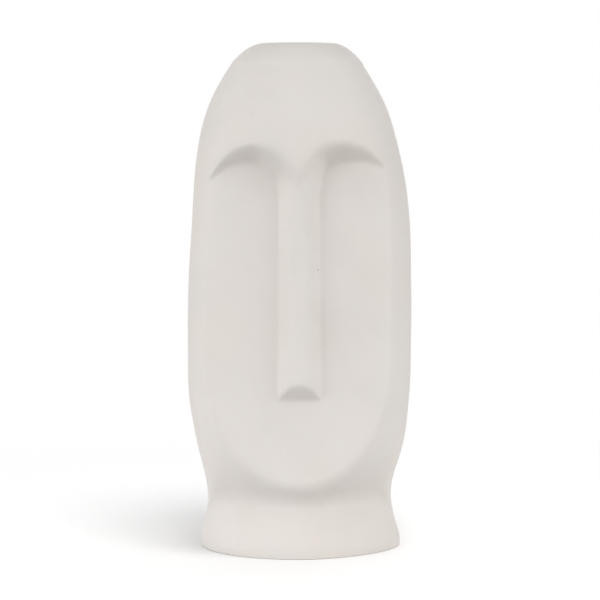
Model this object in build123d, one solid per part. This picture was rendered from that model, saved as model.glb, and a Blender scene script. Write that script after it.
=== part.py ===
from build123d import *
import os

import numpy as np

# A face vase: a hollow ceramic head, pressed in two halves and joined with slip.
# Millimetres, face towards -Y, +Z up, origin on the resting plane under the middle of the foot.

# Overall sizes
height = 250.0
foot_z = 0.1
foot_round = 0.3
crown_z = 240.0
crest_half_width = 17.4
crest_half_depth = 15.2
lip_lean = 2.75
lip_rise = 4.25
lip_run = 5.4
seam = 0.8

# Floor, lining and felt
floor_bottom = 1.8
floor_top = 8.0
floor_joint = 0.8
lining = 0.5
lining_corner = 3.0
lining_top = 246.0
felt_half_width = 39.0
felt_half_depth = 33.0

# Mouth
mouth_half_width = 15.0
mouth_flare = 1.6
mouth_flare_z = 247.0
mouth_blend = 2.0

# Outline seen from the front, each side as the hand left it, and the depth behind the seam, as (height, size)
left_edge_points = [(0, 48.7), (3, 48.9), (9, 47.8), (21, 45.5), (32, 46.1), (48, 49.8), (60, 52.5),
                    (75, 54.7), (108, 55.2), (130, 54.8), (150, 53.8), (180, 52.0), (192, 51.1), (205, 48.8),
                    (225, 42.2), (240, 33.4)]
right_edge_points = [(0, 50.6), (3, 50.8), (9, 49.4), (21, 46.5), (32, 46.6), (48, 51.2), (60, 53.6),
                     (75, 55.1), (108, 56.0), (130, 55.8), (150, 55.6), (180, 53.2), (192, 51.0), (205, 47.8),
                     (225, 40.3), (240, 31.7)]
back_depth_points = [(0, 44.5), (21, 41.0), (48, 45.0), (80, 48.0), (110, 49.0), (150, 48.5),
                     (180, 46.5), (205, 42.5), (225, 35.6), (240, 27.5)]

# Depths in front of the seam, as (height, size)
forehead_points = [(170, 50.3), (190, 50.1), (205, 48.9), (218, 45.6), (230, 39.8), (240, 32.8)]
cheek_points = [(0, 47.5), (40, 46.5), (100, 43.6), (150, 40.7), (200, 37.5), (222, 36.0), (240, 28.0)]
neck_points = [(0, 43.3), (3, 43.5), (9, 42.5), (20, 40.2), (28, 39.9), (45, 40.5), (70, 40.8), (120, 40.0),
               (180, 36.0), (240, 20.0)]
neck_square_points = [(0, 2.0), (10, 2.0), (30, 2.15), (60, 2.7), (120, 3.0), (240, 3.0)]
side_points = [(0, 60), (20, 62), (45, 72), (80, 84), (120, 84), (170, 78), (200, 68), (225, 52), (240, 40)]
side_round_points = [(0, 10), (170, 10), (200, 8), (240, 5)]
cheek_dish = 2.2
dish_reach = 44.5
right_dish = 1.0
right_dish_start = 18.0
right_dish_end = 46.0
neck_blend = 4.0
foot_skew = 0.12
foot_skew_z = 25.0

# Brows: height, rounding and slope of the edge at each distance from the middle; the left hangs lower
left_brow_points = [(0, 183.6), (5, 189.2), (10, 194.8), (15, 198.8), (21, 200.5), (28, 199.5), (35, 195.3),
                    (42, 186.9), (50, 177)]
left_brow_round_points = [(0, 6.0), (8, 5.4), (14, 3.4), (20, 2.0), (36, 1.6), (46, 0.8)]
left_brow_slope_points = [(0, 1.2), (8, 1.05), (15, 1.0), (20, 1.2), (26, 1.3), (50, 1.3)]
left_brow_reach = 48.0
right_brow_points = [(0, 183.6), (4, 189.4), (8, 195.4), (13, 199.6), (21, 201.4), (30, 200.0), (36, 196.4),
                     (41, 191.6), (50, 184)]
right_brow_round_points = [(0, 6.0), (8, 5.2), (14, 3.4), (20, 2.7), (36, 2.2), (46, 0.8)]
right_brow_slope_points = [(0, 1.2), (8, 1.2), (50, 1.22)]
right_brow_reach = 44.5
brow_curve = 3

# Nose: height above the cheeks and half width, as (height, size)
nose_rise_points = [(70, 8.2), (80, 8.7), (92, 9.2), (140, 9.1), (175, 10.1), (190, 11.0), (200, 10.4),
                    (212, 3.9), (222, -7.2), (240, -30.0)]
nose_half_points = [(70, 10.6), (80, 10.4), (100, 9.7), (120, 9.5), (165, 9.5), (182, 10.3), (192, 13.2),
                    (204, 17.0), (240, 17.0)]
nose_shift = 0.35
nose_curve = 2.5
nose_least_fall = 4.0
nose_base_z = 78.0
nose_under_slope = 1.15
nose_edge_round = 1.7
nose_root_blend = 4.0
face_fillet_points = [(0, 1.2), (80, 1.2), (95, 2.4), (150, 2.6), (172, 2.2), (186, 1.8), (240, 1.8)]

# The softer corner where the nose meets the left brow
corner_fillet = 3.5
corner_x = -15.0
corner_half = 9.0
corner_low_z = 168.0
corner_high_z = 182.0

# Chin: the face's lower edge is half an ellipse, its right side drawn in; fall and rounding as (height, size)
chin_z = 35.2
chin_centre_z = 98.0
chin_half_width = 46.0
chin_right_inset = 1.3
chin_fall_points = [(0, 1.5), (35, 1.3), (50, 1.0), (80, 0.92), (240, 0.92)]
left_chin_round_points = [(0, 2.6), (40, 2.6), (70, 3.2), (100, 4.4), (240, 5.0)]
right_chin_round_points = [(0, 2.6), (40, 2.6), (70, 2.0), (100, 1.6), (165, 1.6), (190, 3.6), (240, 4.5)]
chin_change = 20.0

# Hollow: half width in the body and inside the crown, and depths as a share of the hollow's half width
inside_points = [(0, 43.6), (9, 42.2), (21, 39.8), (32, 40.7), (48, 45.2), (75, 49.3), (108, 50.0),
                 (150, 49.1), (180, 46.9), (205, 42.6), (225, 35.3), (240, 26.2)]
dome_points = [(0, 150.0), (190, 56.0), (210, 43.6), (225, 34.4), (235, 27.2), (240, 22.0), (243, 17.0),
               (245, 11.0), (247, 2.0), (252, -20.0)]
dome_blend = 2.0
hollow_front_points = [(0, 0.875), (20, 0.84), (45, 0.78), (80, 0.735), (120, 0.72), (160, 0.715),
                       (190, 0.735), (205, 0.80), (225, 0.85), (252, 0.855)]
hollow_side_points = [(0, 1.03), (12, 1.03), (30, 1.12), (60, 1.4), (195, 1.45), (225, 1.2), (240, 1.05),
                      (252, 1.03)]
hollow_round_points = [(0, 16), (12, 16), (30, 12), (60, 6), (195, 6), (225, 9), (240, 16), (252, 16)]
hollow_back_share = 0.86

# How finely the curved surfaces are followed
front_columns = 121
front_rows = 150
back_columns = 33
hollow_columns = 25
round_rows = 5
band_rows = 26
lip_rows = 6


def smooth_curve(points):
    """A natural cubic spline through (position, value) points, held level beyond its ends."""
    at, value = np.array(points, float).T
    gap = np.diff(at)
    count = len(at)
    matrix = np.eye(count)
    bend = np.zeros(count)
    for i in range(1, count - 1):
        matrix[i, i - 1:i + 2] = gap[i - 1], 2 * (gap[i - 1] + gap[i]), gap[i]
        bend[i] = 6 * ((value[i + 1] - value[i]) / gap[i] - (value[i] - value[i - 1]) / gap[i - 1])
    bend = np.linalg.solve(matrix, bend)

    def curve(x):
        x = np.clip(x, at[0], at[-1])
        i = np.clip(np.searchsorted(at, x) - 1, 0, count - 2)
        low = x - at[i]
        high = at[i + 1] - x
        bent = (bend[i] * high**3 + bend[i + 1] * low**3) / (6 * gap[i])
        first = (value[i] / gap[i] - bend[i] * gap[i] / 6) * high
        second = (value[i + 1] / gap[i] - bend[i + 1] * gap[i] / 6) * low
        return bent + first + second

    return curve


left_edge = smooth_curve(left_edge_points)
right_edge = smooth_curve(right_edge_points)
inside_half_width = smooth_curve(inside_points)
back_depth = smooth_curve(back_depth_points)
forehead_depth = smooth_curve(forehead_points)
cheek_depth = smooth_curve(cheek_points)
neck_depth = smooth_curve(neck_points)
neck_square = smooth_curve(neck_square_points)
side_depth = smooth_curve(side_points)
side_round = smooth_curve(side_round_points)
left_brow = smooth_curve(left_brow_points)
left_brow_round = smooth_curve(left_brow_round_points)
left_brow_slope = smooth_curve(left_brow_slope_points)
right_brow = smooth_curve(right_brow_points)
right_brow_round = smooth_curve(right_brow_round_points)
right_brow_slope = smooth_curve(right_brow_slope_points)
nose_rise = smooth_curve(nose_rise_points)
nose_half = smooth_curve(nose_half_points)
face_fillet = smooth_curve(face_fillet_points)
chin_fall = smooth_curve(chin_fall_points)
left_chin_round = smooth_curve(left_chin_round_points)
right_chin_round = smooth_curve(right_chin_round_points)
dome = smooth_curve(dome_points)
hollow_front_share = smooth_curve(hollow_front_points)
hollow_side_share = smooth_curve(hollow_side_points)
hollow_side_round = smooth_curve(hollow_round_points)


def smooth_max(first, second, blend):
    """The larger of two depths, with a rounded change-over."""
    share = np.clip(0.5 + 0.5 * (first - second) / blend, 0, 1)
    return second + (first - second) * share + blend * share * (1 - share)


def smooth_min(first, second, blend):
    """The smaller of two depths, with a rounded change-over."""
    return -smooth_max(-first, -second, blend)


def soft_corner(front, side, power):
    """The smaller of two positive depths, as a rounded corner; a higher power is a tighter corner."""
    front = np.maximum(front, 1e-6)
    side = np.maximum(side, 1e-6)
    low = np.minimum(front, side)
    return low * ((front / low) ** -power + (side / low) ** -power) ** (-1 / power)


def ease(t):
    """A soft step from 0 to 1."""
    t = np.clip(t, 0, 1)
    return t * t * (3 - 2 * t)


def side_edge(x, z):
    """Distance of the outline from the middle, on the side that x is on."""
    return np.where(x < 0, left_edge(z), right_edge(z))


def brow_fall(across, z, edge, edge_round, slope):
    """How far a brow falls back below its edge."""
    return slope(across) * smooth_max(edge(across) - z, 0, edge_round(across))


def brow_depth(x, z):
    """How far the brows stand out from the cheeks."""
    across = np.abs(x)
    reach = np.where(x < 0, left_brow_reach, right_brow_reach)
    left = brow_fall(across, z, left_brow, left_brow_round, left_brow_slope)
    right = brow_fall(across, z, right_brow, right_brow_round, right_brow_slope)
    relief = (forehead_depth(z) - cheek_depth(z)) * np.maximum(0, 1 - (across / reach) ** brow_curve)
    return relief - np.where(x < 0, left, right)


def nose_depth(x, z):
    """How far the nose stands out from the cheeks."""
    rise = nose_rise(z)
    fall = np.maximum(rise, nose_least_fall)
    ridge = rise - fall * (np.abs(x - nose_shift) / nose_half(z)) ** nose_curve
    return smooth_min(ridge, (z - nose_base_z) * nose_under_slope, nose_edge_round)


def front_depth(x, z):
    """Depth of the head in front of the seam at a distance from the middle and a height."""
    across = np.abs(x)
    dish = cheek_dish * ease(across / dish_reach)
    dish = dish + right_dish * ease((x - right_dish_start) / (right_dish_end - right_dish_start))
    cheek = cheek_depth(z) + dish
    corner = ease(1 - np.abs(x - corner_x) / corner_half)
    corner = corner * ease((z - corner_low_z) / (corner_high_z - corner_low_z))
    fillet = face_fillet(z) + corner_fillet * corner
    face = cheek + smooth_max(smooth_max(brow_depth(x, z), nose_depth(x, z), nose_root_blend), 0, fillet)
    below = np.maximum(0, chin_centre_z - z) / (chin_centre_z - chin_z)
    rightness = ease(0.5 + x / chin_change)
    half = chin_half_width - chin_right_inset * rightness
    past_chin = (np.hypot(across / half, below) - 1) * half
    chin_round = left_chin_round(z) * (1 - rightness) + right_chin_round(z) * rightness
    face = face - chin_fall(z) * smooth_max(past_chin, 0, chin_round)
    share = np.minimum(across / side_edge(x, z), 1)
    square = neck_square(z)
    skew = 1 - foot_skew * ease(np.where(x < 0, 0, share)) * ease(1 - z / foot_skew_z)
    neck = neck_depth(z) * skew * (1 - share**square) ** (1 / square)
    side = side_depth(z) * np.sqrt(1 - share**2)
    return soft_corner(smooth_max(face, neck, neck_blend), side, side_round(z))


crown_half_width = (left_edge(crown_z) + right_edge(crown_z)) / 2
crown_depth = crown_half_width * crest_half_depth / crest_half_width


def outer_rows():
    """Rows up the outside as (height the form is read at, scale, oval share, height of the row)."""
    rows = []
    foot_width = right_edge(foot_z + foot_round)
    for angle in np.linspace(0, np.pi / 2, round_rows)[:-1]:
        inset = foot_round * (1 - np.sin(angle))
        row_z = foot_z + foot_round * (1 - np.cos(angle))
        rows.append((foot_z + foot_round, 1 - inset / foot_width, 0, row_z))
    for z in np.linspace(foot_z + foot_round, crown_z, front_rows):
        rows.append((z, 1, 0, z))
    lip = Bezier((crown_half_width, crown_z), (crown_half_width - lip_lean, crown_z + lip_rise),
                 (crest_half_width + lip_run, height), (crest_half_width, height))
    for t in np.linspace(0, 1, lip_rows)[1:]:
        spot = lip @ t
        rows.append((crown_z, spot.X / crown_half_width, ease(t), spot.Y))
    return rows


def closed_outline(front_points, back_points):
    """A closed level outline from a front and a back curve that share their ends."""
    curves = []
    for points in (front_points, back_points):
        curves.append(Edge.make_spline(points, parameters=list(np.linspace(0, 1, len(points)))))
    return Wire(curves)


def half_outline(x, y, z):
    """The points of one half of a level outline, its ends on the seam."""
    y[0] = 0
    y[-1] = 0
    return [Vector(*spot, z) for spot in zip(x, y)]


def spread(turn, z):
    """Distances across the head, from its left edge to its right edge, for angles of a half turn."""
    left = left_edge(z)
    right = right_edge(z)
    return (left + right) / 2 * np.sin(turn) + (right - left) / 2 * np.sin(turn) ** 2


def outer_section(read_z, scale, oval, z):
    """A closed level outline of the outside."""
    turn = np.linspace(-np.pi / 2, np.pi / 2, front_columns)
    x = spread(turn, read_z)
    front = front_depth(x, read_z) * (1 - oval) + crown_depth * np.cos(turn) * oval
    front_points = half_outline(x * scale, -front * scale, z)
    turn = np.linspace(-np.pi / 2, np.pi / 2, back_columns)
    x = spread(turn, read_z)
    share = np.minimum(np.abs(x) / side_edge(x, read_z), 1)
    back = back_depth(read_z) * np.sqrt(1 - share**2) * (1 - oval) + crown_depth * np.cos(turn) * oval
    back_points = half_outline(x * scale, back * scale, z)
    return closed_outline(front_points, back_points)


def solid_head():
    """The whole head as one solid, lofted in bands."""
    sections = [outer_section(*row) for row in outer_rows()]
    starts = range(0, len(sections) - 1, band_rows)
    bands = [Solid.make_loft(sections[i:i + band_rows + 1]) for i in starts]
    return bands[0].fuse(*bands[1:])


def hollow_half_width(z):
    """Half width of the hollow: the wall inside the head, then the crown's dome and the mouth."""
    inside = smooth_min(inside_half_width(z), dome(z), dome_blend)
    flare = max(0, z - mouth_flare_z) / (height - mouth_flare_z)
    return smooth_max(inside, mouth_half_width + mouth_flare * flare**2, mouth_blend)


def hollow_section(z, inset):
    """A closed level outline of the hollow at a height, drawn in by an inset."""
    turn = np.linspace(-np.pi / 2, np.pi / 2, hollow_columns)
    width = hollow_half_width(z)
    front = width * hollow_front_share(z) - inset
    back = width * hollow_back_share - inset
    x = (width - inset) * np.sin(turn)
    side = front * hollow_side_share(z) * np.cos(turn)
    front_y = soft_corner(np.full_like(turn, front), side, hollow_side_round(z))
    return closed_outline(half_outline(x, -front_y, z), half_outline(x, back * np.cos(turn), z))


def lining_inset(z):
    """How far the lining's inner face stands in from the wall, measured level."""
    step = 0.1
    lean = (hollow_half_width(z + step) - hollow_half_width(z - step)) / (2 * step)
    return lining * np.hypot(1, lean)


def level_slice(solid, low, high):
    """The part of a solid between two heights."""
    return solid & Pos(0, 0, (low + high) / 2) * Box(2 * height, 2 * height, high - low)


def depth_slice(solid, near, far):
    """The part of a solid between two depths from front to back."""
    return solid & Pos(0, (near + far) / 2, height / 2) * Box(2 * height, far - near, 2 * height)


# The hollow runs out through the mouth and the open foot
hollow_heights = [-3, *np.linspace(3, 213, 22), *np.linspace(217, 237, 6), *np.linspace(239, height + 2, 14)]
hollow = Solid.make_loft([hollow_section(z, 0) for z in hollow_heights])

# The two pressed halves and the slip that joins them
shell = solid_head() - hollow
face_wall = depth_slice(shell, -height, -seam / 2)
back_wall = depth_slice(shell, seam / 2, height)
slip = depth_slice(shell, -seam / 2, seam / 2).solids().sort_by(Axis.X)
seam_slip_left = slip[0]
seam_slip_right = slip[-1]

# The floor, set inside the foot in a ring of slip
floor_heights = np.linspace(floor_bottom, floor_top, 5)
floor_slab = Solid.make_loft([hollow_section(z, floor_joint) for z in floor_heights])
floor_slip = level_slice(hollow, floor_bottom, floor_top) - floor_slab

# The glaze that lines the inside, thicker where it pools round the floor
corner = np.linspace(0, np.pi / 2, round_rows)
lining_base = floor_top + lining
lining_low = lining_base + lining_corner * (1 - np.cos(corner))
lining_rows = list(zip(lining_low, lining_corner * (1 - np.sin(corner))))
lining_rows += [(z, 0) for z in hollow_heights if z > lining_rows[-1][0] + 1]
water = Solid.make_loft([hollow_section(z, lining_inset(z) + pool) for z, pool in lining_rows])
glaze_lining = level_slice(hollow, floor_top, lining_top) - water

# The felt that the vase rests on
felt_pad = extrude(Ellipse(felt_half_width, felt_half_depth), floor_bottom)

nodes = {
    "face_wall": face_wall,
    "back_wall": back_wall,
    "seam_slip_left": seam_slip_left,
    "seam_slip_right": seam_slip_right,
    "floor_slab": floor_slab,
    "floor_slip": floor_slip,
    "glaze_lining": glaze_lining,
    "felt_pad": felt_pad,
}
os.makedirs("parts", exist_ok=True)
for name, shape in nodes.items():
    export_step(shape, f"parts/{name}.step")
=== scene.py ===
import logging
import math
from dataclasses import dataclass
from enum import Enum
from functools import reduce
from typing import Any, Callable, Sequence

import bpy
import numpy as np
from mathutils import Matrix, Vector


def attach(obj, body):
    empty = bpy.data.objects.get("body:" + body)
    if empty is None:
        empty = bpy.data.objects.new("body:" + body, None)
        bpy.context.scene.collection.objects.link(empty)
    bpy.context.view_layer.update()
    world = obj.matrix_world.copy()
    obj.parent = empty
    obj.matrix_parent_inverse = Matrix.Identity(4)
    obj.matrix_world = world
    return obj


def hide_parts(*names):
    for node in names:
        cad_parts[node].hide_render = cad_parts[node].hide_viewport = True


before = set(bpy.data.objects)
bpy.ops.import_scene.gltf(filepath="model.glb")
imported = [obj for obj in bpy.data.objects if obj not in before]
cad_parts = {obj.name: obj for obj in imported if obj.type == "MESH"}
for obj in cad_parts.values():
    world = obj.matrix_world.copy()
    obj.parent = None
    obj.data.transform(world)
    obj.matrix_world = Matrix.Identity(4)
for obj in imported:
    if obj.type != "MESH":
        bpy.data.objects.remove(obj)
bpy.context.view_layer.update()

MM = 0.001
BODY = "root"
LOG = logging.getLogger("face_vase")

LEAST_DEPTH = 1e-6
LEAST_LENGTH = 1e-9
NOISE_MIDDLE = 0.5
# Share of a pit's radius that lies at its full depth.
PIT_FLOOR = 0.3
# Places of a Mix node's colours among its sockets, whose names repeat.
MIX_FIRST = 6
MIX_SECOND = 7
MIX_RESULT = 2

Colour = tuple[float, float, float, float]
Place = tuple[float, float, float]
Span = tuple[float, float]
Points = Sequence[tuple[float, float]]
Grid = np.ndarray


def linear(red: int, green: int, blue: int) -> Colour:
    """Turn a colour as seen on a screen, 0 to 255, into linear light.

    Args:
        red, green, blue: The colour's parts.

    Returns:
        The linear colour with full alpha.
    """
    parts = [part / 255 for part in (red, green, blue)]
    light = [part / 12.92 if part <= 0.04045 else ((part + 0.055) / 1.055) ** 2.4 for part in parts]
    return (light[0], light[1], light[2], 1.0)


class Slot(Enum):
    """The record's material slots."""

    BISQUE = "bisque"
    SLIP = "slip"
    GLAZE = "glaze"
    FELT = "felt"


class Shade:
    """A value that runs through a material's nodes and can be reckoned with."""

    def __init__(self, paint: "Paint", socket: bpy.types.NodeSocket) -> None:
        """Wrap an output socket of a paint."""
        self.paint = paint
        self.socket = socket

    def _math(self, operation: str, *values: Any) -> "Shade":
        """Add one Math node, with its inputs as shades or numbers."""
        return self.paint.node("ShaderNodeMath", {"operation": operation}, dict(enumerate(values)))

    def __add__(self, other: Any) -> "Shade":
        """This plus another."""
        return self._math("ADD", self, other)

    __radd__ = __add__

    def __sub__(self, other: Any) -> "Shade":
        """This less another."""
        return self._math("SUBTRACT", self, other)

    def __rsub__(self, other: Any) -> "Shade":
        """Another less this."""
        return self._math("SUBTRACT", other, self)

    def __mul__(self, other: Any) -> "Shade":
        """This times another."""
        return self._math("MULTIPLY", self, other)

    __rmul__ = __mul__

    def __gt__(self, other: Any) -> "Shade":
        """1 where this is above another, else 0."""
        return self._math("GREATER_THAN", self, other)

    def larger(self, other: Any) -> "Shade":
        """The larger of this and another."""
        return self._math("MAXIMUM", self, other)

    def ramp(self, low: float, high: float) -> "Shade":
        """A soft step from 0 at low to 1 at high.

        Args:
            low: Where the step starts.
            high: Where it ends; it may lie below low.

        Returns:
            The stepped value.
        """
        settings = {"interpolation_type": "SMOOTHSTEP", "clamp": True}
        sockets = {"Value": self, "From Min": low, "From Max": high}
        return self.paint.node("ShaderNodeMapRange", settings, sockets)


@dataclass(frozen=True)
class Grain:
    """Clouds of a surface: how far apart in millimetres, their finer layers, those layers' strength, and
    how much longer the clouds are along each axis.
    """

    apart: float
    layers: float = 2.0
    rough: float = 0.5
    stretch: Place = (1.0, 1.0, 1.0)


@dataclass(frozen=True)
class Pits:
    """Pits of a surface: how far apart their places are, their radius, and the share of places with one."""

    apart: float
    radius: float
    share: float


class Paint:
    """Builds the nodes of one material or of the sky."""

    def __init__(self, owner: bpy.types.Material | bpy.types.World) -> None:
        """Start an empty set of nodes.

        Args:
            owner: The material or the sky that they belong to.
        """
        owner.use_nodes = True
        self.owner = owner
        self.tree = owner.node_tree
        self.tree.nodes.clear()

    @classmethod
    def new(cls, name: str) -> "Paint":
        """Start an empty material of a name."""
        return cls(bpy.data.materials.new(name))

    def add(self, kind: str, settings: dict[str, Any], sockets: dict[Any, Any]) -> bpy.types.Node:
        """Add one node.

        Args:
            kind: The node's type.
            settings: Its own settings, set first.
            sockets: Values or shades for its inputs, by name or place.

        Returns:
            The node.
        """
        made = self.tree.nodes.new(kind)
        for name, value in settings.items():
            setattr(made, name, value)
        for name, value in sockets.items():
            if isinstance(value, Shade):
                self.tree.links.new(value.socket, made.inputs[name])
            else:
                made.inputs[name].default_value = value
        return made

    def node(self, kind: str, settings: dict[str, Any], sockets: dict[Any, Any], output: Any = 0) -> Shade:
        """Add one node and take one of its outputs, by name or place."""
        return Shade(self, self.add(kind, settings, sockets).outputs[output])

    def place(self) -> Shade:
        """Where a point lies on the object, in metres."""
        return self.node("ShaderNodeTexCoord", {}, {}, "Object")

    def noise(self, grain: Grain) -> Shade:
        """Cloudy noise from 0 to 1.

        Args:
            grain: How large, fine and long its clouds are.

        Returns:
            The noise.
        """
        scale = tuple(1 / (grain.apart * MM * part) for part in grain.stretch)
        place = self.node("ShaderNodeVectorMath", {"operation": "MULTIPLY"}, {0: self.place(), 1: scale})
        sockets = {"Vector": place, "Scale": 1.0, "Detail": grain.layers, "Roughness": grain.rough}
        return self.node("ShaderNodeTexNoise", {}, sockets, "Fac")

    def mix(self, share: Any, first: Any, second: Any) -> Shade:
        """A colour between two: the first at a share of 0, the second at 1."""
        sockets = {0: share, MIX_FIRST: first, MIX_SECOND: second}
        return self.node("ShaderNodeMix", {"data_type": "RGBA"}, sockets, MIX_RESULT)

    def bump(self, height: Shade, depth_mm: float, normal: Shade | None = None) -> Shade:
        """A normal bent by a height.

        Args:
            height: The height, about 0 to 1.
            depth_mm: How deep a height of 1 is.
            normal: A normal to add to, if any.

        Returns:
            The bent normal.
        """
        sockets: dict[str, Any] = {"Strength": 1.0, "Distance": depth_mm * MM, "Height": height}
        if normal is not None:
            sockets["Normal"] = normal
        return self.node("ShaderNodeBump", {}, sockets)

    def pits(self, spread: Pits) -> Shade:
        """Small round pits, scattered the same way each time.

        Args:
            spread: How they are spread and how large they are.

        Returns:
            1 in a pit's middle, falling to 0 at its edge.
        """
        sockets = {"Vector": self.place(), "Scale": 1 / (spread.apart * MM)}
        cells = self.add("ShaderNodeTexVoronoi", {}, sockets)
        away = Shade(self, cells.outputs["Distance"])
        chance = self.node("ShaderNodeSeparateColor", {}, {0: Shade(self, cells.outputs["Color"])})
        size = spread.radius / spread.apart
        return away.ramp(size, PIT_FLOOR * size) * (chance > 1 - spread.share)

    def near(self, spot: Place, radius_mm: float) -> Shade:
        """One round pit.

        Args:
            spot: Its middle, in millimetres.
            radius_mm: Its radius.

        Returns:
            1 in its middle, falling to 0 at its edge.
        """
        middle = tuple(part * MM for part in spot)
        sockets = {0: self.place(), 1: middle}
        away = self.node("ShaderNodeVectorMath", {"operation": "DISTANCE"}, sockets, "Value")
        return away.ramp(radius_mm * MM, PIT_FLOOR * radius_mm * MM)

    def finish(self, **sockets: Any) -> bpy.types.Material:
        """Close the material with a surface shader.

        Args:
            sockets: Its inputs, with underscores for spaces.

        Returns:
            The finished material.
        """
        named = {name.replace("_", " "): value for name, value in sockets.items()}
        self.close(self.node("ShaderNodeBsdfPrincipled", {}, named))
        return self.owner

    def close(self, surface: Shade) -> None:
        """Lead a surface shader to the output."""
        kind = "World" if isinstance(self.owner, bpy.types.World) else "Material"
        self.add(f"ShaderNodeOutput{kind}", {}, {"Surface": surface})


@dataclass(frozen=True)
class BisqueClay:
    """Matt off-white fired clay, sponged smooth by hand."""

    name: str = "bisque_clay"
    colour: Colour = linear(226, 221, 216)
    dark_colour: Colour = linear(222, 217, 211)
    warm_colour: Colour = linear(228, 221, 214)
    # Painted shade: the pits and pinholes are darkened to stand for the shade that falls inside them.
    pit_shade_colour: Colour = linear(178, 171, 163)
    warmth: Grain = Grain(58.0)
    warmth_span: Span = (0.45, 0.75)
    clouds: Grain = Grain(34.0, 3.0, 0.55)
    clouds_span: Span = (0.42, 0.72)
    clouds_share: float = 0.7
    specks: Grain = Grain(6.0, 3.0, 0.6)
    specks_span: Span = (0.5, 0.82)
    specks_share: float = 0.3
    pits: tuple[Pits, ...] = (Pits(11.0, 0.3, 0.12), Pits(5.0, 0.16, 0.1))
    pit_depth: float = 0.22
    pinholes: tuple[Place, ...] = ((9.3, -43.5, 140.8),)
    pinhole_radius: float = 0.7
    tooth: Grain = Grain(0.55, 3.0, 0.65)
    tooth_depth: float = 0.03
    wiping: Grain = Grain(1.6, stretch=(3.0, 1.0, 1.0))
    wiping_depth: float = 0.035
    dents: Grain = Grain(7.5)
    dents_depth: float = 0.11
    roughness: float = 0.82
    roughness_spread: float = 0.12
    shine: float = 0.3

    def paint(self) -> bpy.types.Material:
        """Make the material.

        Returns:
            The clay's material.
        """
        paint = Paint.new(self.name)
        clouds = paint.noise(self.clouds).ramp(*self.clouds_span)
        specks = paint.noise(self.specks)
        warmth = paint.noise(self.warmth).ramp(*self.warmth_span)
        holes = [paint.pits(spread) for spread in self.pits]
        holes += [paint.near(spot, self.pinhole_radius) for spot in self.pinholes]
        pits = reduce(Shade.larger, holes)
        mottle = clouds * self.clouds_share + specks.ramp(*self.specks_span) * self.specks_share
        colour = paint.mix(warmth, self.colour, self.warm_colour)
        colour = paint.mix(mottle, colour, self.dark_colour)
        # Painted shade in the pits and pinholes, on top of the dents that the bump below presses in.
        colour = paint.mix(pits, colour, self.pit_shade_colour)
        normal = paint.bump(paint.noise(self.tooth), self.tooth_depth)
        normal = paint.bump(paint.noise(self.wiping), self.wiping_depth, normal)
        normal = paint.bump(paint.noise(self.dents), self.dents_depth, normal)
        normal = paint.bump(1 - pits, self.pit_depth, normal)
        rough = self.roughness + (specks - NOISE_MIDDLE) * self.roughness_spread
        return paint.finish(Base_Color=colour, Roughness=rough, Normal=normal, Specular_IOR_Level=self.shine)


@dataclass(frozen=True)
class LiningGlaze:
    """Clear glossy glaze over the same clay."""

    name: str = "lining_glaze"
    colour: Colour = linear(226, 222, 214)
    pool_colour: Colour = linear(214, 211, 202)
    pools: Grain = Grain(22.0)
    pools_span: Span = (0.4, 0.8)
    ripples: Grain = Grain(9.0)
    ripples_depth: float = 0.12
    roughness: float = 0.12
    roughness_spread: float = 0.08
    coat: float = 0.4

    def paint(self) -> bpy.types.Material:
        """Make the material.

        Returns:
            The glaze's material.
        """
        paint = Paint.new(self.name)
        pools = paint.noise(self.pools)
        colour = paint.mix(pools.ramp(*self.pools_span), self.colour, self.pool_colour)
        rough = self.roughness + pools * self.roughness_spread
        normal = paint.bump(paint.noise(self.ripples), self.ripples_depth)
        return paint.finish(Base_Color=colour, Roughness=rough, Normal=normal, Coat_Weight=self.coat)


@dataclass(frozen=True)
class BaseFelt:
    """Pressed wool felt."""

    name: str = "base_felt"
    colour: Colour = linear(205, 201, 192)
    dark_colour: Colour = linear(178, 173, 163)
    along: Grain = Grain(0.5, 4.0, 0.7, (2.5, 1.0, 1.0))
    across: Grain = Grain(0.5, 4.0, 0.7, (1.0, 2.5, 1.0))
    fibres_span: Span = (0.4, 0.75)
    fibres_depth: float = 0.12
    roughness: float = 0.95

    def paint(self) -> bpy.types.Material:
        """Make the material.

        Returns:
            The felt's material.
        """
        paint = Paint.new(self.name)
        fibres = paint.noise(self.along).larger(paint.noise(self.across))
        colour = paint.mix(fibres.ramp(*self.fibres_span), self.dark_colour, self.colour)
        normal = paint.bump(fibres, self.fibres_depth)
        return paint.finish(Base_Color=colour, Roughness=self.roughness, Normal=normal)


class SmoothCurve:
    """A natural cubic spline through (position, value) points, held level beyond its ends."""

    def __init__(self, points: Points) -> None:
        """Work out how the curve bends at each point.

        Args:
            points: Its points, by rising position.
        """
        self.at, self.value = np.array(points, float).T
        self.gap = np.diff(self.at)
        count = len(self.at)
        matrix = np.eye(count)
        bend = np.zeros(count)
        slope = np.diff(self.value) / self.gap
        for i in range(1, count - 1):
            matrix[i, i - 1:i + 2] = self.gap[i - 1], 2 * (self.gap[i - 1] + self.gap[i]), self.gap[i]
            bend[i] = 6 * (slope[i] - slope[i - 1])
        self.bend = np.linalg.solve(matrix, bend)

    def __call__(self, x: Any) -> Any:
        """Read the curve.

        Args:
            x: One or more positions.

        Returns:
            The curve's value at each.
        """
        x = np.clip(x, self.at[0], self.at[-1])
        i = np.clip(np.searchsorted(self.at, x) - 1, 0, len(self.at) - 2)
        low = x - self.at[i]
        high = self.at[i + 1] - x
        gap = self.gap[i]
        bent = (self.bend[i] * high**3 + self.bend[i + 1] * low**3) / (6 * gap)
        first = (self.value[i] / gap - self.bend[i] * gap / 6) * high
        second = (self.value[i + 1] / gap - self.bend[i + 1] * gap / 6) * low
        return bent + first + second


def smooth_max(first: Any, second: Any, blend: Any) -> Any:
    """The larger of two depths, with a rounded change-over as wide as the blend."""
    share = np.clip(0.5 + 0.5 * (first - second) / blend, 0, 1)
    return second + (first - second) * share + blend * share * (1 - share)


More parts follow.
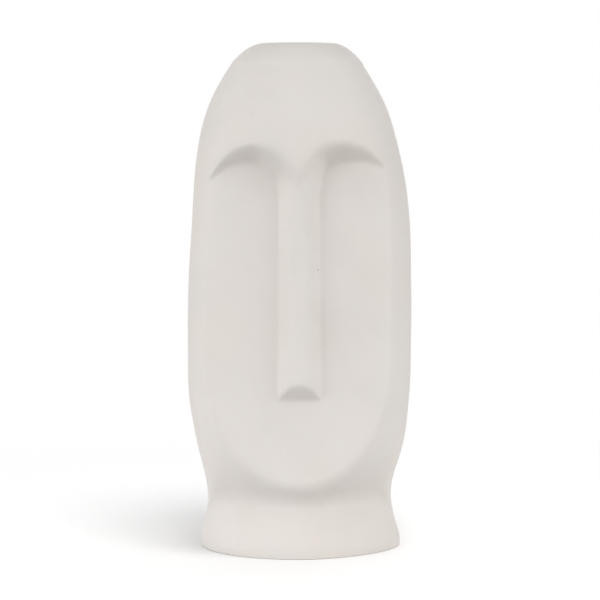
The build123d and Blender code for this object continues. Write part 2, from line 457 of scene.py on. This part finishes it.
def smooth_min(first: Any, second: Any, blend: float) -> Any:
    """The smaller of two depths, with a rounded change-over as wide as the blend."""
    return -smooth_max(-first, -second, blend)


def soft_corner(front: Any, side: Any, power: Any) -> Any:
    """The smaller of two positive depths, as a rounded corner.

    Args:
        front, side: The depths.
        power: How tight the corner is.

    Returns:
        The rounded depth.
    """
    front = np.maximum(front, LEAST_DEPTH)
    side = np.maximum(side, LEAST_DEPTH)
    low = np.minimum(front, side)
    return low * ((front / low) ** -power + (side / low) ** -power) ** (-1 / power)


def ease(t: Any) -> Any:
    """A soft step from 0 to 1."""
    t = np.clip(t, 0, 1)
    return t * t * (3 - 2 * t)


def own_side(y: Grid, joint_y: float) -> Grid:
    """Keep depths on their own side of a joint: before it in front, behind it at the back."""
    return np.minimum(y, joint_y) if joint_y < 0 else np.maximum(y, joint_y)


@dataclass(frozen=True)
class Brow:
    """One brow: height, roundness and slope of its edge over the distance from the middle, and its reach."""

    edge: SmoothCurve
    edge_round: SmoothCurve
    slope: SmoothCurve
    reach: float
    curve: float = 3

    def depth(self, relief: Grid, across: Grid, z: Grid) -> Grid:
        """How far the brow stands out from the cheek.

        Args:
            relief: How far the forehead's middle stands out.
            across: Distances from the middle.
            z: Heights.

        Returns:
            The depths.
        """
        shallow = np.maximum(0, 1 - (across / self.reach) ** self.curve)
        below = smooth_max(self.edge(across) - z, 0, self.edge_round(across))
        return relief * shallow - self.slope(across) * below


@dataclass(frozen=True)
class HeadForm:
    """The head's shape in millimetres: depths, widths and edges as curves over its height."""

    # Foot, crown and lip
    height: float = 250.0
    foot_z: float = 0.1
    foot_round: float = 0.3
    crown_z: float = 240.0
    crest_half_width: float = 17.4
    crest_half_depth: float = 15.2
    lip_lean: float = 2.75
    lip_rise: float = 4.25
    lip_run: float = 5.4
    seam: float = 0.8
    # Outline and depths over the height
    left_edge: SmoothCurve = SmoothCurve([
        (0, 48.7), (3, 48.9), (9, 47.8), (21, 45.5), (32, 46.1), (48, 49.8), (60, 52.5), (75, 54.7),
        (108, 55.2), (130, 54.8), (150, 53.8), (180, 52.0), (192, 51.1), (205, 48.8), (225, 42.2),
        (240, 33.4)])
    right_edge: SmoothCurve = SmoothCurve([
        (0, 50.6), (3, 50.8), (9, 49.4), (21, 46.5), (32, 46.6), (48, 51.2), (60, 53.6), (75, 55.1),
        (108, 56.0), (130, 55.8), (150, 55.6), (180, 53.2), (192, 51.0), (205, 47.8), (225, 40.3),
        (240, 31.7)])
    inside_half_width: SmoothCurve = SmoothCurve([
        (0, 43.6), (9, 42.2), (21, 39.8), (32, 40.7), (48, 45.2), (75, 49.3), (108, 50.0), (150, 49.1),
        (180, 46.9), (205, 42.6), (225, 35.3), (240, 26.2)])
    back_depth: SmoothCurve = SmoothCurve([
        (0, 44.5), (21, 41.0), (48, 45.0), (80, 48.0), (110, 49.0), (150, 48.5), (180, 46.5), (205, 42.5),
        (225, 35.6), (240, 27.5)])
    forehead_depth: SmoothCurve = SmoothCurve([
        (170, 50.3), (190, 50.1), (205, 48.9), (218, 45.6), (230, 39.8), (240, 32.8)])
    cheek_depth: SmoothCurve = SmoothCurve([
        (0, 47.5), (40, 46.5), (100, 43.6), (150, 40.7), (200, 37.5), (222, 36.0), (240, 28.0)])
    neck_depth: SmoothCurve = SmoothCurve([
        (0, 43.3), (3, 43.5), (9, 42.5), (20, 40.2), (28, 39.9), (45, 40.5), (70, 40.8), (120, 40.0),
        (180, 36.0), (240, 20.0)])
    neck_square: SmoothCurve = SmoothCurve([
        (0, 2.0), (10, 2.0), (30, 2.15), (60, 2.7), (120, 3.0), (240, 3.0)])
    side_depth: SmoothCurve = SmoothCurve([
        (0, 60), (20, 62), (45, 72), (80, 84), (120, 84), (170, 78), (200, 68), (225, 52), (240, 40)])
    side_round: SmoothCurve = SmoothCurve([(0, 10), (170, 10), (200, 8), (240, 5)])
    cheek_dish: float = 2.2
    dish_reach: float = 44.5
    neck_blend: float = 4.0
    foot_skew: float = 0.12
    foot_skew_z: float = 25.0
    # Brows and nose
    left_brow: Brow = Brow(
        SmoothCurve([(0, 183.6), (5, 189.2), (10, 194.8), (15, 198.8), (21, 200.5), (28, 199.5), (35, 195.3),
                     (42, 186.9), (50, 177)]),
        SmoothCurve([(0, 6.0), (8, 5.4), (14, 3.4), (20, 2.0), (36, 1.6), (46, 0.8)]),
        SmoothCurve([(0, 1.2), (8, 1.05), (15, 1.0), (20, 1.2), (26, 1.3), (50, 1.3)]), 48.0)
    right_brow: Brow = Brow(
        SmoothCurve([(0, 183.6), (4, 189.4), (8, 195.4), (13, 199.6), (21, 201.4), (30, 200.0), (36, 196.4),
                     (41, 191.6), (50, 184)]),
        SmoothCurve([(0, 6.0), (8, 5.2), (14, 3.4), (20, 2.7), (36, 2.2), (46, 0.8)]),
        SmoothCurve([(0, 1.2), (8, 1.2), (50, 1.22)]), 44.5)
    nose_rise: SmoothCurve = SmoothCurve([
        (70, 8.2), (80, 8.7), (92, 9.2), (140, 9.1), (175, 10.1), (190, 11.0), (200, 10.4), (212, 3.9),
        (222, -7.2), (240, -30.0)])
    nose_half: SmoothCurve = SmoothCurve([
        (70, 10.6), (80, 10.4), (100, 9.7), (120, 9.5), (165, 9.5), (182, 10.3), (192, 13.2),
        (204, 17.0), (240, 17.0)])
    nose_shift: float = 0.35
    nose_curve: float = 2.5
    nose_least_fall: float = 4.0
    nose_base_z: float = 78.0
    nose_under_slope: float = 1.15
    nose_edge_round: float = 1.7
    nose_root_blend: float = 4.0
    corner_fillet: float = 3.5
    corner_x: float = -15.0
    corner_half: float = 9.0
    corner_z: Span = (168.0, 182.0)
    face_fillet: SmoothCurve = SmoothCurve([
        (0, 1.2), (80, 1.2), (95, 2.4), (150, 2.6), (172, 2.2), (186, 1.8), (240, 1.8)])
    # Chin and cheeks
    chin_z: float = 35.2
    chin_centre_z: float = 98.0
    chin_half_width: float = 46.0
    chin_right_inset: float = 1.3
    chin_change: float = 20.0
    chin_fall: SmoothCurve = SmoothCurve([(0, 1.5), (35, 1.3), (50, 1.0), (80, 0.92), (240, 0.92)])
    left_chin_round: SmoothCurve = SmoothCurve([(0, 2.6), (40, 2.6), (70, 3.2), (100, 4.4), (240, 5.0)])
    right_chin_round: SmoothCurve = SmoothCurve([
        (0, 2.6), (40, 2.6), (70, 2.0), (100, 1.6), (165, 1.6), (190, 3.6), (240, 4.5)])
    right_dish: float = 1.0
    right_dish_x: Span = (18.0, 46.0)
    # Hollow and mouth
    dome: SmoothCurve = SmoothCurve([
        (0, 150.0), (190, 56.0), (210, 43.6), (225, 34.4), (235, 27.2), (240, 22.0), (243, 17.0), (245, 11.0),
        (247, 2.0), (252, -20.0)])
    dome_blend: float = 2.0
    mouth_half_width: float = 15.0
    mouth_flare: float = 1.6
    mouth_flare_z: float = 247.0
    mouth_blend: float = 2.0
    hollow_front_share: SmoothCurve = SmoothCurve([
        (0, 0.875), (20, 0.84), (45, 0.78), (80, 0.735), (120, 0.72), (160, 0.715), (190, 0.735), (205, 0.80),
        (225, 0.85), (252, 0.855)])
    hollow_side_share: SmoothCurve = SmoothCurve([
        (0, 1.03), (12, 1.03), (30, 1.12), (60, 1.4), (195, 1.45), (225, 1.2), (240, 1.05), (252, 1.03)])
    hollow_side_round: SmoothCurve = SmoothCurve([
        (0, 16), (12, 16), (30, 12), (60, 6), (195, 6), (225, 9), (240, 16), (252, 16)])
    hollow_back_share: float = 0.86

    def edge(self, side: Grid, z: Grid) -> Grid:
        """Distance of the outline from the middle, on the left for a side below 0, else on the right."""
        return np.where(side < 0, self.left_edge(z), self.right_edge(z))

    def front_depth(self, x: Grid, z: Grid) -> Grid:
        """Depth of the head in front of the seam.

        Args:
            x: Distances from the middle.
            z: Heights.

        Returns:
            The depths.
        """
        across = np.abs(x)
        start, end = self.right_dish_x
        dish = self.cheek_dish * ease(across / self.dish_reach)
        dish = dish + self.right_dish * ease((x - start) / (end - start))
        cheek = self.cheek_depth(z) + dish
        relief = self.forehead_depth(z) - self.cheek_depth(z)
        brows = [brow.depth(relief, across, z) for brow in (self.left_brow, self.right_brow)]
        brow = np.where(x < 0, *brows)
        rise = self.nose_rise(z)
        fall = np.maximum(rise, self.nose_least_fall)
        ridge = rise - fall * (np.abs(x - self.nose_shift) / self.nose_half(z)) ** self.nose_curve
        under = (z - self.nose_base_z) * self.nose_under_slope
        nose = smooth_min(ridge, under, self.nose_edge_round)
        low, high = self.corner_z
        corner = ease(1 - np.abs(x - self.corner_x) / self.corner_half) * ease((z - low) / (high - low))
        fillet = self.face_fillet(z) + self.corner_fillet * corner
        face = cheek + smooth_max(smooth_max(brow, nose, self.nose_root_blend), 0, fillet)
        below = np.maximum(0, self.chin_centre_z - z) / (self.chin_centre_z - self.chin_z)
        rightness = ease(0.5 + x / self.chin_change)
        half = self.chin_half_width - self.chin_right_inset * rightness
        past_chin = (np.hypot(across / half, below) - 1) * half
        chin_round = self.left_chin_round(z) * (1 - rightness) + self.right_chin_round(z) * rightness
        face = face - self.chin_fall(z) * smooth_max(past_chin, 0, chin_round)
        share = np.minimum(across / self.edge(x, z), 1)
        square = self.neck_square(z)
        skew = 1 - self.foot_skew * ease(np.where(x < 0, 0, share)) * ease(1 - z / self.foot_skew_z)
        neck = self.neck_depth(z) * skew * (1 - share**square) ** (1 / square)
        side = self.side_depth(z) * np.sqrt(1 - share**2)
        return soft_corner(smooth_max(face, neck, self.neck_blend), side, self.side_round(z))

    def back_curve(self, x: Grid, z: Grid) -> Grid:
        """Depth of the head behind the seam, at distances from the middle and heights."""
        share = np.minimum(np.abs(x) / self.edge(x, z), 1)
        return self.back_depth(z) * np.sqrt(1 - share**2)

    def crown_half_width(self) -> float:
        """Half the width where the lip starts."""
        return (self.left_edge(self.crown_z) + self.right_edge(self.crown_z)) / 2

    def outer_rows(self, body: int, edge: int) -> Grid:
        """Rows up the outside.

        Args:
            body: How many rows the body has.
            edge: How many rows the foot's and the lip's roundings have.

        Returns:
            Heights the form is read at, scales, oval shares and heights of the rows, each as a column.
        """
        low = self.foot_z + self.foot_round
        turn = np.linspace(0, np.pi / 2, edge, endpoint=False)
        inset = self.foot_round * (1 - np.sin(turn))
        foot = np.stack([0 * turn + low, 1 - inset / self.right_edge(low), 0 * turn,
                         self.foot_z + self.foot_round * (1 - np.cos(turn))], 1)
        z = np.linspace(low, self.crown_z, body)
        middle = np.stack([z, 0 * z + 1, 0 * z, z], 1)
        width = self.crown_half_width()
        corners = np.array([
            (width, self.crown_z),
            (width - self.lip_lean, self.crown_z + self.lip_rise),
            (self.crest_half_width + self.lip_run, self.height),
            (self.crest_half_width, self.height)])
        t = np.linspace(0, 1, edge + 1)[1:]
        weights = np.stack([(1 - t) ** 3, 3 * t * (1 - t) ** 2, 3 * t**2 * (1 - t), t**3], 1)
        spots = weights @ corners
        lip = np.stack([0 * t + self.crown_z, spots[:, 0] / width, ease(t), spots[:, 1]], 1)
        return np.concatenate([foot, middle, lip]).T[..., None]

    def hollow_half_width(self, z: Grid) -> Grid:
        """Half width of the hollow: the body, the crown's dome and the mouth.

        Args:
            z: Heights.

        Returns:
            The half width at each.
        """
        inside = smooth_min(self.inside_half_width(z), self.dome(z), self.dome_blend)
        flare = np.maximum(0, z - self.mouth_flare_z) / (self.height - self.mouth_flare_z)
        return smooth_max(inside, self.mouth_half_width + self.mouth_flare * flare**2, self.mouth_blend)

    def hollow_ring(self, z: Grid, turn: Grid, inset: Grid) -> Grid:
        """Points round the hollow.

        Args:
            z: Heights, one a row.
            turn: Angles round from the right side through the back, one a column.
            inset: How far each row is drawn in.

        Returns:
            Points by row and column.
        """
        z, inset = z[:, None], inset[:, None]
        width = self.hollow_half_width(z)
        front = width * self.hollow_front_share(z) - inset
        back = width * self.hollow_back_share - inset
        sine, cosine = np.sin(turn)[None], np.cos(turn)[None]
        side = front * self.hollow_side_share(z) * np.maximum(-sine, 0)
        near = -soft_corner(front + 0 * side, side, self.hollow_side_round(z))
        y = np.where(sine < 0, near, back * sine)
        x = (width - inset) * cosine
        return np.stack([x, y, z + 0 * x], 2)


def mark_sharp(mesh: bpy.types.Mesh, rows: int, columns: int, rings: bool, flat_rows: Sequence[int]) -> None:
    """Keep the edges of a piece's flat faces sharp.

    Args:
        mesh: The piece's mesh, its points by row and column.
        rows, columns: How many it has.
        rings: True where the first and last row are capped, False where the first and last column are.
        flat_rows: Rows whose faces, up to the next row, are flat.
    """
    ends = np.empty(2 * len(mesh.edges), np.int32)
    mesh.edges.foreach_get("vertices", ends)
    row, column = np.divmod(ends.reshape(-1, 2), columns)
    line, last = (row, rows - 1) if rings else (column, columns - 1)
    sharp = (line[:, 0] == line[:, 1]) & np.isin(line[:, 0], (0, last))
    flat = [place % rows for start in flat_rows for place in (start, start + 1)]
    sharp |= (row[:, 0] == row[:, 1]) & np.isin(row[:, 0], flat)
    mesh.edges.foreach_set("use_edge_sharp", sharp)


def make_piece(name: str, grid: Grid, rings: bool, finish: bpy.types.Material,
               nodes: Sequence[str], flat_rows: Sequence[int] = ()) -> None:
    """Make one closed piece from a grid of points and let it stand for its nodes.

    Args:
        name: The piece's name.
        grid: Points by row and column, in millimetres.
        rings: True where rows close round on themselves and the first and last row are capped; False where
            columns close round and the first and last column are capped.
        finish: The piece's material.
        nodes: The nodes that it stands for.
        flat_rows: Rows whose faces, up to the next row, are flat.
    """
    rows, columns = grid.shape[:2]
    row, column = np.meshgrid(np.arange(rows - rings), np.arange(columns - (not rings)), indexing="ij")
    after, beside = (row + 1) % rows, (column + 1) % columns
    quads = np.stack([row * columns + column, row * columns + beside, after * columns + beside,
                      after * columns + column], 2).reshape(-1, 4)
    index = np.arange(rows * columns).reshape(rows, columns)
    caps = [index[0][::-1], index[-1]] if rings else [index[:, 0], index[:, -1][::-1]]
    faces = quads.tolist() + [cap.tolist() for cap in caps]
    mesh = bpy.data.meshes.new(name)
    mesh.from_pydata((grid.reshape(-1, 3) * MM).tolist(), [], faces)
    smooth = np.ones(len(faces), bool)
    smooth[-2:] = False
    smooth[:len(quads)] = ~np.isin(row.reshape(-1), flat_rows)
    mesh.polygons.foreach_set("use_smooth", smooth)
    mark_sharp(mesh, rows, columns, rings, flat_rows)
    mesh.materials.append(finish)
    mesh.update()
    piece = bpy.data.objects.new(name, mesh)
    bpy.context.scene.collection.objects.link(piece)
    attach(piece, BODY)
    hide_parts(*nodes)
    LOG.info("%s: %d faces", name, len(faces))


@dataclass(frozen=True)
class HeadWalls:
    """The two pressed halves of the head and the slip between them.

    Each wave of the hand's unevenness has its turn along x, y and z, in radians a millimetre, and its start.
    """

    form: HeadForm
    clay: bpy.types.Material
    body_rows: int = 330
    edge_rows: int = 14
    hollow_rows: int = 70
    front_columns: int = 231
    back_columns: int = 121
    slip_columns: int = 4
    wave_mm: float = 0.2
    wave_from_z: float = 4.0
    waves: tuple[tuple[float, float, float, float], ...] = (
        (0.11, 0.05, 0.06, 0.0),
        (-0.06, 0.08, 0.13, 1.7),
        (0.17, -0.1, -0.05, 4.1),
        (0.04, 0.15, 0.19, 2.6),
    )

    def build(self) -> None:
        """Make the walls and the slip."""
        half = self.form.seam / 2
        turn = np.pi / 2
        front = np.linspace(-turn, turn, self.front_columns)
        self.wall("face_wall_clay", front, lambda x, z: -self.form.front_depth(x, z), -half, "face_wall")
        back = np.linspace(turn, -turn, self.back_columns)
        self.wall("back_wall_clay", back, self.form.back_curve, half, "back_wall")
        for side, name in ((-1, "left"), (1, "right")):
            self.slip(f"seam_slip_{name}_clay", side, f"seam_slip_{name}")

    def wave(self, place: Grid) -> Grid:
        """How far points stand out, in millimetres, on a surface sponged by hand."""
        swell = sum(np.sin(place @ np.array(turns) + start) for *turns, start in self.waves)
        return swell / len(self.waves) * self.wave_mm

    def settle(self, grid: Grid, seam_y: float | None) -> Grid:
        """Add the hand's unevenness, with the edges kept in their planes.

        Args:
            grid: Points by row and column.
            seam_y: The depth that the first and last columns lie at, or None.

        Returns:
            The settled points.
        """
        along = np.gradient(grid, axis=1)
        up = np.gradient(grid, axis=0)
        normal = np.cross(along, up)
        normal /= np.maximum(np.linalg.norm(normal, axis=2, keepdims=True), LEAST_LENGTH)
        lift = self.wave(grid) * ease(grid[..., 2] / self.wave_from_z)
        moved = grid + normal * lift[..., None]
        moved[[0, -1], :, 2] = grid[[0, -1], :, 2]
        if seam_y is not None:
            moved[:, [0, -1], 1] = seam_y
        return moved

    def hollow(self, turn: Grid) -> Grid:
        """The inside of the wall from the mouth down to the foot, at angles round it."""
        z = np.linspace(self.form.height, self.form.foot_z, self.hollow_rows)
        return self.form.hollow_ring(z, turn, 0 * z)

    def wall(self, name: str, turn: Grid, depth: Callable[[Grid, Grid], Grid], seam_y: float,
             node: str) -> None:
        """Make one half.

        Args:
            name: The piece's name.
            turn: Angles across the half, one a column.
            depth: The half's surface, as y at distances from the middle and heights.
            seam_y: The depth of its joint.
            node: The node that it stands for.
        """
        form = self.form
        read_z, scale, oval, z = form.outer_rows(self.body_rows, self.edge_rows)
        width = form.edge(turn[None], read_z)
        x = width * np.sin(turn)[None]
        ratio = math.copysign(form.crest_half_depth / form.crest_half_width, seam_y)
        crest = ratio * form.crown_half_width() * np.cos(turn)[None]
        y = (depth(x, read_z + 0 * x) * (1 - oval) + crest * oval) * scale
        outer = self.settle(np.stack([x * scale, own_side(y, seam_y), z + 0 * x], 2), seam_y)
        inner = self.hollow(np.copysign(np.pi / 2 - turn, seam_y))
        inner[..., 1] = own_side(inner[..., 1], seam_y)
        grid = np.concatenate([outer, inner])
        make_piece(name, grid, False, self.clay, [node], [len(grid) - 1])

    def slip(self, name: str, side: int, node: str) -> None:
        """Make the slip down one side.

        Args:
            name: The piece's name.
            side: -1 for the left, 1 for the right.
            node: The node that it stands for.
        """
        form = self.form
        read_z, scale, _, z = form.outer_rows(self.body_rows, self.edge_rows)
        y = np.linspace(-form.seam / 2, form.seam / 2, self.slip_columns)[None] * side
        x = side * form.edge(side, read_z) * scale + 0 * y
        outer = self.settle(np.stack([x, y + 0 * x, z + 0 * x], 2), None)
        outer[..., 1] = y
        inner = self.hollow(np.full(self.slip_columns, 0.0 if side > 0 else np.pi))
        inner[..., 1] = y
        make_piece(name, np.concatenate([outer, inner]), False, self.clay, [node])


@dataclass(frozen=True)
class Lining:
    """The glaze on the inside."""

    form: HeadForm
    glaze: bpy.types.Material
    floor_z: float = 8.0
    top_z: float = 246.0
    thickness: float = 0.5
    corner: float = 3.0
    rows: int = 150
    corner_rows: int = 9
    columns: int = 128
    lean_step: float = 0.1

    def build(self) -> None:
        """Make the lining as one closed skin."""
        turn = np.linspace(0, 2 * np.pi, self.columns, endpoint=False)
        z = np.linspace(self.floor_z, self.top_z, self.rows)
        outside = self.form.hollow_ring(z, turn, 0 * z)
        base = self.floor_z + self.thickness
        angle = np.linspace(0, np.pi / 2, self.corner_rows, endpoint=False)
        low = base + self.corner * (1 - np.cos(angle))
        pool = self.corner * (1 - np.sin(angle))
        high = np.linspace(base + self.corner, self.top_z, self.rows)
        inside_z = np.concatenate([low, high])
        inset = self.level_inset(inside_z) + np.concatenate([pool, 0 * high])
        inside = self.form.hollow_ring(inside_z, turn, inset)
        skin = np.concatenate([outside, inside[::-1]])
        make_piece("glaze_lining_skin", skin, True, self.glaze, ["glaze_lining"])

    def level_inset(self, z: Grid) -> Grid:
        """How far the inner face stands in from the wall, measured level.

        Args:
            z: Heights.

        Returns:
            The distance at each.
        """
        step = self.lean_step
        lean = (self.form.hollow_half_width(z + step) - self.form.hollow_half_width(z - step)) / (2 * step)
        return self.thickness * np.hypot(1, lean)


@dataclass(frozen=True)
class FeltPad:
    """The felt that the vase rests on."""

    felt: bpy.types.Material
    half_width: float = 39.0
    half_depth: float = 33.0
    thickness: float = 1.8
    edge_round: float = 0.35
    edge_rows: int = 5
    columns: int = 160

    def build(self) -> None:
        """Make the pad with softened edges."""
        turn = np.linspace(0, 2 * np.pi, self.columns, endpoint=False)
        angle = np.linspace(0, np.pi / 2, self.edge_rows)
        inset = self.edge_round * (1 - np.sin(angle))
        lift = self.edge_round * (1 - np.cos(angle))
        inset = np.concatenate([inset, inset[::-1]])[:, None]
        z = np.concatenate([lift, self.thickness - lift[::-1]])[:, None]
        x = (self.half_width - inset) * np.cos(turn)[None]
        y = (self.half_depth - inset) * np.sin(turn)[None]
        make_piece("felt_pad_soft", np.stack([x, y, z + 0 * x], 2), True, self.felt, ["felt_pad"])


class Lights(Enum):
    """What a lamp shines on."""

    VASE = "vase"
    FLOOR = "floor"


@dataclass(frozen=True)
class Lamp:
    """One soft square lamp that faces the vase, turned round from the front and lifted, in degrees."""

    name: str
    turn: float
    lift: float
    size: float
    watts: float
    lights: Lights = Lights.VASE
    distance: float = 1.6
    target: Place = (0.0, 0.0, 0.12)

    def build(self, receivers: bpy.types.Collection) -> None:
        """Hang the lamp.

        Args:
            receivers: What it shines on.
        """
        light = bpy.data.lights.new(self.name, "AREA")
        light.energy = self.watts
        light.size = self.size
        lamp = bpy.data.objects.new(self.name, light)
        turn, lift = math.radians(self.turn), math.radians(self.lift)
        away = Vector((math.sin(turn) * math.cos(lift), -math.cos(turn) * math.cos(lift), math.sin(lift)))
        lamp.location = Vector(self.target) + away * self.distance
        lamp.rotation_euler = (-away).to_track_quat("-Z", "Y").to_euler()
        bpy.context.scene.collection.objects.link(lamp)
        lamp.light_linking.receiver_collection = receivers


@dataclass(frozen=True)
class Studio:
    """A pale floor, soft lamps and the camera."""

    floor_half: float = 6.0
    floor_colour: Colour = (0.87, 0.87, 0.87, 1.0)
    bounce_colour: Colour = (0.64, 0.64, 0.64, 1.0)
    far_colour: Colour = (0.13, 0.13, 0.13, 1.0)
    floor_glow: float = 0.068
    floor_fade: Span = (0.25, 0.65)
    white_fade: Span = (0.2, 0.42)
    sky_colour: Colour = (1.0, 1.0, 1.0, 1.0)
    sky_strength: float = 0.3
    camera_place: Place = (0.0006, -1.1219, 0.2143)
    camera_tilt: float = math.radians(4.665)
    lens_mm: float = 135.4
    sensor_mm: float = 36.0
    camera_range: Span = (0.01, 50.0)
    lamps: tuple[Lamp, ...] = (
        Lamp("front_left", -40, 8, 0.9, 5.8),
        Lamp("front_right", 38, 8, 0.9, 3.8),
        Lamp("side_left", -70, 14, 0.9, 5.9),
        Lamp("side_right", 70, 18, 0.9, 7.2),
        Lamp("rim_left", -105, 8, 0.9, 3.4),
        Lamp("rim_right", 105, 8, 0.9, 1.6),
        Lamp("high_left", -35, 38, 0.9, 3.1),
        Lamp("high_right", 35, 40, 0.9, 2.5),
        Lamp("top", 0, 60, 0.9, 1.8),
        Lamp("back", 180, 10, 0.9, 13.0),
        Lamp("floor_light", 20, 66, 0.7, 13.4, Lights.FLOOR),
        Lamp("floor_wide", 165, 75, 3.0, 24.5, Lights.FLOOR),
    )

    def seen(self, paint: Paint) -> Shade:
        """Tell the rays that show the background itself from all others.

        Args:
            paint: The nodes that ask.

        Returns:
            1 for such rays, else 0.
        """
        kinds = [paint.node("ShaderNodeLightPath", {}, {}, name)
                 for name in ("Is Camera Ray", "Is Glossy Ray", "Is Transmission Ray")]
        return kinds[0].larger(kinds[1]).larger(kinds[2])

    def build(self) -> None:
        """Set up the floor, the sky, the lamps and the camera."""
        bpy.context.scene.view_settings.view_transform = "Standard"
        pieces = [item for item in bpy.data.objects if item.type == "MESH"]
        lit = {Lights.VASE: pieces, Lights.FLOOR: [self.floor()]}
        self.sky()
        receivers = {}
        for kind, items in lit.items():
            receivers[kind] = bpy.data.collections.new(f"lit_{kind.value}")
            for item in items:
                receivers[kind].objects.link(item)
        for lamp in self.lamps:
            lamp.build(receivers[lamp.lights])
        self.camera()

    def floor(self) -> bpy.types.Object:
        """Lay the floor; its own glow is only seen, and the object's shadow stays on it.

        Returns:
            The floor.
        """
        paint = Paint.new("pale_floor")
        matt = paint.node("ShaderNodeBsdfDiffuse", {}, {"Color": self.floor_colour})
        bounce = paint.node("ShaderNodeBsdfDiffuse", {}, {"Color": self.bounce_colour})
        dim = paint.node("ShaderNodeBsdfDiffuse", {}, {"Color": self.far_colour})
        glow = paint.node("ShaderNodeEmission", {}, {"Strength": self.floor_glow})
        near = paint.node("ShaderNodeAddShader", {}, {0: matt, 1: glow})
        white = paint.node("ShaderNodeEmission", {}, {"Strength": 1.0})
        away = paint.node("ShaderNodeVectorMath", {"operation": "LENGTH"}, {0: paint.place()}, "Value")
        lit = paint.node("ShaderNodeMixShader", {}, {0: away.ramp(*self.floor_fade), 1: bounce, 2: dim})
        shown = paint.node("ShaderNodeMixShader", {}, {0: away.ramp(*self.white_fade), 1: near, 2: white})
        paint.close(paint.node("ShaderNodeMixShader", {}, {0: self.seen(paint), 1: lit, 2: shown}))
        half = self.floor_half
        mesh = bpy.data.meshes.new("floor")
        corners = [(-half, -half, 0), (half, -half, 0), (half, half, 0), (-half, half, 0)]
        mesh.from_pydata(corners, [], [(0, 1, 2, 3)])
        mesh.materials.append(paint.owner)
        floor = bpy.data.objects.new("floor", mesh)
        bpy.context.scene.collection.objects.link(floor)
        return floor

    def sky(self) -> None:
        """Light all round, and a white background where it is seen."""
        world = bpy.data.worlds.new("soft_sky")
        bpy.context.scene.world = world
        paint = Paint(world)
        lit, shown = (paint.node("ShaderNodeBackground", {}, {"Color": self.sky_colour, "Strength": strength})
                      for strength in (self.sky_strength, 1.0))
        paint.close(paint.node("ShaderNodeMixShader", {}, {0: self.seen(paint), 1: lit, 2: shown}))

    def camera(self) -> None:
        """Set the camera at the photograph's viewing angle."""
        lens = bpy.data.cameras.new("camera")
        lens.lens = self.lens_mm
        lens.sensor_width = self.sensor_mm
        lens.clip_start, lens.clip_end = self.camera_range
        camera = bpy.data.objects.new("camera", lens)
        camera.location = self.camera_place
        camera.rotation_euler = (math.pi / 2 - self.camera_tilt, 0.0, 0.0)
        bpy.context.scene.collection.objects.link(camera)
        bpy.context.scene.camera = camera


def dress_node(node: str, finish: bpy.types.Material) -> None:
    """Give a node that stays as it is a finish.

    Args:
        node: The node's name.
        finish: Its material.
    """
    mesh = bpy.data.objects[node].data
    mesh.materials.clear()
    mesh.materials.append(finish)
    LOG.info("%s: dressed as it is", node)


def main() -> None:
    """Build the vase's pieces in order, then the studio."""
    logging.basicConfig(level=logging.INFO, format="%(name)s %(message)s")
    clay = BisqueClay().paint()
    glaze = LiningGlaze().paint()
    felt = BaseFelt().paint()
    form = HeadForm()
    HeadWalls(form, clay).build()
    Lining(form, glaze).build()
    FeltPad(felt).build()
    for node in ("floor_slab", "floor_slip"):
        dress_node(node, clay)
    Studio().build()


if __name__ == "__main__":
    main()
